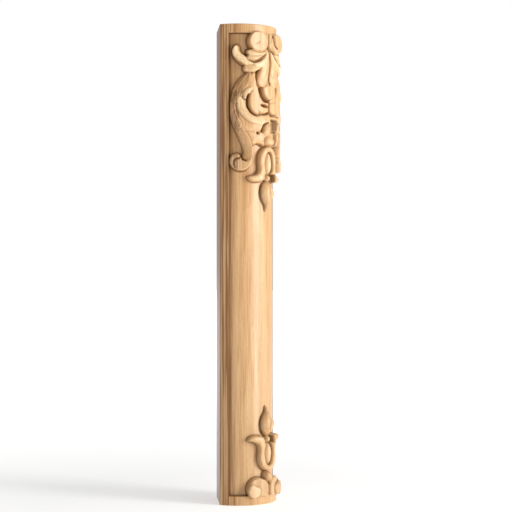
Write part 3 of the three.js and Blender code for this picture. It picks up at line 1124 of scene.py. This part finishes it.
    def skin(self, side: Array, height: Array, lift: Array, draw_in: Array) -> Array:
        """Wraps the lifts round the front and closes each row round the flats.

        On the front a place is (panel radius + lift) times (sin φ, −cos φ), with φ the side over the
        carving radius, and no place goes past the half width.

        Args:
            side: sides of the grid.
            height: heights of the grid.
            lift: lifts of the grid.
            draw_in: how far each row draws in.

        Returns:
            The points in millimetres, by row and column.
        """
        angle = side[0] / self.carving_radius
        way = np.stack([np.sin(angle), -np.cos(angle)], 1)
        widest = (self.half_width - self.clearance) / np.maximum(np.abs(way[:, 0]), 0.5)
        out = np.minimum(self.front_radius - self.recess + lift, widest) - draw_in[:, None]
        far = self.outline()
        flats = far[None, :, :2] - draw_in[:, None, None] * far[None, :, 2:]
        ring = np.concatenate([out[:, :, None] * way, flats], 1)
        return np.concatenate([ring, np.broadcast_to(height[:, :1, None], (*ring.shape[:2], 1))], 2)

    def paint_light_and_shade(self, side: Array, height: Array, lift: Array, painted_shading: Array) -> tuple[Array, Array]:
        """Turns the painted shade and highlight of the cuts into how brown and how pale the wood is painted.

        The panel's edge holds a brown line of painted shade. Surfaces that face up get less painted shade,
        as light falls from above, and hollows get more.

        Args:
            side: sides of the grid.
            height: heights of the grid.
            lift: lifts of the grid.
            painted_shading: the painted shade in its cuts, below zero where a painted highlight lies.

        Returns:
            How much painted shade darkens each place and how much painted highlight makes it pale, both from
            0 to 1.
        """
        past = self.past_panel(side, height)
        on_panel = past < 0.3
        # A line of painted shade in the corner along the panel's edge.
        line = np.where(on_panel, np.exp(-(np.minimum(past, 0) / self.edge_width) ** 2), 0)
        painted_shading = np.where(past > 0.3, np.minimum(painted_shading, self.frame_shade * painted_shading), painted_shading)
        rise, run = np.gradient(lift, height[:, 0], axis=0), np.gradient(lift, side[0], axis=1)
        # Painted shade is lessened where the wood faces up, as light falls from above, and deepened in
        # hollows.
        upward = np.clip(-rise / np.sqrt(1 + rise ** 2 + run ** 2), 0, 1)
        brown = np.maximum(painted_shading, self.edge_shade * line * (lift < self.recess))
        brown = brown * (1 - self.lit_upward * upward) + self.hollow_shade * hollows(lift) * on_panel
        return np.clip(brown, 0, self.darkest_shade), np.clip(-painted_shading, 0, self.palest_highlight)

    def surface(self) -> tuple[Array, Array, Array]:
        """Works out the whole skin as one closed ring of columns for each row.

        Returns:
            The points in millimetres, how much painted shade darkens each from 0 to 1 with −1 on the flats,
            and how much painted highlight makes each pale, all by row and column.
        """
        rows, draw_in = self.heights()
        side, height = np.meshgrid(self.sides(), rows)
        lift, painted_shading = self.carve(side, height)
        points = self.skin(side, height, lift, draw_in)
        brown, painted_highlight = self.paint_light_and_shade(side, height, lift, painted_shading)
        flats = np.ones((len(rows), points.shape[1] - side.shape[1]))
        return points, np.concatenate([brown, -flats], 1), np.concatenate([painted_highlight, 0 * flats], 1)

    def build(self) -> bpy.types.Object:
        """Makes the column's mesh, with a cap inside each end's ring, and dresses it in oak.

        Returns:
            The object, at the origin.
        """
        points, brown, painted_highlight = self.surface()
        rows, columns = brown.shape
        points = points.reshape(-1, 3)
        index = np.arange(rows * columns).reshape(rows, columns)
        centre, inner = points.mean(0) * (1, 1, 0), 1 - self.cap_inset / self.front_radius
        caps = [centre + (points[index[end]] - centre) * (inner, inner, 1) for end in (0, -1)]
        low_ring = len(points) + np.arange(columns)
        grid = np.vstack([low_ring, index, low_ring + columns])
        following = np.roll(grid, -1, 1)
        faces = np.stack([grid[:-1], following[:-1], following[1:], grid[1:]], 2).reshape(-1, 4).tolist()
        faces += [grid[0, ::-1].tolist(), grid[-1].tolist()]
        mesh = bpy.data.meshes.new("carved_column_wood")
        mesh.from_pydata((np.vstack([points, *caps]) * MM).tolist(), [], faces)
        # The painted shade, with −1 on the flats, and the painted highlight go onto the mesh as point
        # attributes.
        for name, values in (("painted_shade", brown), ("painted_highlight", painted_highlight)):
            values = np.concatenate([values.ravel(), np.zeros(2 * columns)]).astype(np.float32)
            mesh.attributes.new(name, "FLOAT", "POINT").data.foreach_set("value", values)
        mesh.shade_smooth()
        mesh.update()
        mesh.materials.append(self.finish.material())
        piece = bpy.data.objects.new("carved_column_wood", mesh)
        bpy.context.scene.collection.objects.link(piece)
        return piece


@dataclass(frozen=True)
class SoftLight:
    """A soft white light that faces the middle of the column.

    azimuth and elevation are its direction in degrees, from straight in front and from the horizon.
    size is how far it goes across and up, and lengths are in metres.
    """

    name: str
    azimuth: float
    elevation: float
    size: Place
    watts: float
    distance: float = 2.2

    def hang(self, middle: float) -> None:
        """Hangs the light so that it faces the column.

        Args:
            middle: the height that it faces.
        """
        data = bpy.data.lights.new(self.name, "AREA")
        data.shape = "RECTANGLE"
        data.size, data.size_y = self.size
        data.energy = self.watts
        a, e = math.radians(self.azimuth), math.radians(self.elevation)
        way = Vector((math.sin(a) * math.cos(e), -math.cos(a) * math.cos(e), math.sin(e)))
        lamp = bpy.data.objects.new(self.name, data)
        lamp.location = Vector((0, 0, middle)) + way * self.distance
        lamp.rotation_euler = (math.pi / 2 - e, 0.0, a)
        bpy.context.scene.collection.objects.link(lamp)


@dataclass(frozen=True)
class Studio:
    """A pale floor, soft lights and the camera of the photograph.

    azimuth is the camera's, in degrees from straight in front, with the left negative. Lengths are
    in metres and pixels are those of a 512 by 512 image. The floor's glow goes from the first
    distance and strength to the second, and the world's is ambient where the camera doesn't see it.
    """

    azimuth: float = -50.0
    distance: float = 2.2212
    aside: float = 0.0269
    eye_height: float = 0.36
    focal_pixels: float = 1450.0
    image_pixels: float = 512.0
    horizon_pixel: float = 264.6
    sensor_mm: float = 36.0
    floor_half: float = 14.0
    glow_near: Place = (0.3, 0.46)
    glow_far: Place = (2.2, 1.0)
    ambient: float = 0.31
    lights: tuple[SoftLight, ...] = (SoftLight("key", 15.0, 3.0, (0.7, 1.6), 45.0),
                                     SoftLight("top", 10.0, 62.0, (1.2, 1.2), 8.0))

    def camera(self) -> None:
        """Sets up a level camera whose horizon is moved by a small shift."""
        a = math.radians(self.azimuth)
        forward = Vector((-math.sin(a), math.cos(a), 0.0))
        right = Vector((forward.y, -forward.x, 0.0))
        data = bpy.data.cameras.new("camera")
        data.sensor_width = self.sensor_mm
        data.lens = self.focal_pixels / self.image_pixels * self.sensor_mm
        data.shift_y = (self.horizon_pixel - self.image_pixels / 2) / self.image_pixels
        data.clip_end = 50.0
        camera = bpy.data.objects.new("camera", data)
        camera.location = right * self.aside - forward * self.distance + Vector((0, 0, self.eye_height))
        camera.rotation_euler = (math.pi / 2, 0.0, a)
        bpy.context.scene.collection.objects.link(camera)
        bpy.context.scene.camera = camera

    def floor(self) -> bpy.types.Object:
        """Lays a plain pale floor that runs out into the background.

        Returns:
            The floor, a square round the origin.
        """
        corners = [(x * self.floor_half, y * self.floor_half, 0)
                   for x, y in ((-1, -1), (1, -1), (1, 1), (-1, 1))]
        mesh = bpy.data.meshes.new("floor")
        mesh.from_pydata(corners, [], [(0, 1, 2, 3)])
        material = bpy.data.materials.new("pale_floor")
        material.use_nodes = True
        tree = material.node_tree
        place = add(tree, "TexCoord", output="Object")
        away = add(tree, "VectorMath", [place], "Value", operation="LENGTH")
        (near, dim), (far, bright) = self.glow_near, self.glow_far
        glow = add(tree, "MapRange", [away, near, far, dim, bright])
        shader = tree.nodes["Principled BSDF"]
        shader.inputs["Base Color"].default_value = linear("#f4f4f3")
        shader.inputs["Roughness"].default_value = 0.9
        shader.inputs["Specular IOR Level"].default_value = 0.1
        shader.inputs["Emission Color"].default_value = linear("#ffffff")
        tree.links.new(glow, shader.inputs["Emission Strength"])
        mesh.materials.append(material)
        floor = bpy.data.objects.new("floor", mesh)
        bpy.context.scene.collection.objects.link(floor)
        return floor

    def build(self) -> None:
        """Sets up the floor, the world, the lights and the camera."""
        scene = bpy.context.scene
        scene.view_settings.view_transform = "Standard"
        self.floor()
        world = bpy.data.worlds.new("studio")
        world.use_nodes = True
        tree = world.node_tree
        seen = add(tree, "LightPath", output="Is Camera Ray")
        strength = add(tree, "Math", [self.ambient, seen], operation="MAXIMUM")
        background = tree.nodes["Background"]
        background.inputs["Color"].default_value = linear("#ffffff")
        tree.links.new(strength, background.inputs["Strength"])
        scene.world = world
        for light in self.lights:
            light.hang(self.eye_height)
        self.camera()


def main() -> None:
    """Builds the column from the frame's box, then the studio round it."""
    logging.basicConfig(level=logging.INFO, format="%(name)s: %(message)s")
    low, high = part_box(NODE)
    column = CarvedColumn(height=(high.z - low.z) / MM, half_width=high.x / MM, back=high.y / MM)
    piece = column.build()
    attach(piece, BODY)
    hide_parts(NODE)
    LOG.info("%s: %d vertices, %d faces", piece.name, len(piece.data.vertices), len(piece.data.polygons))
    Studio().build()
    LOG.info("studio ready")


if __name__ == "__main__":
    main()
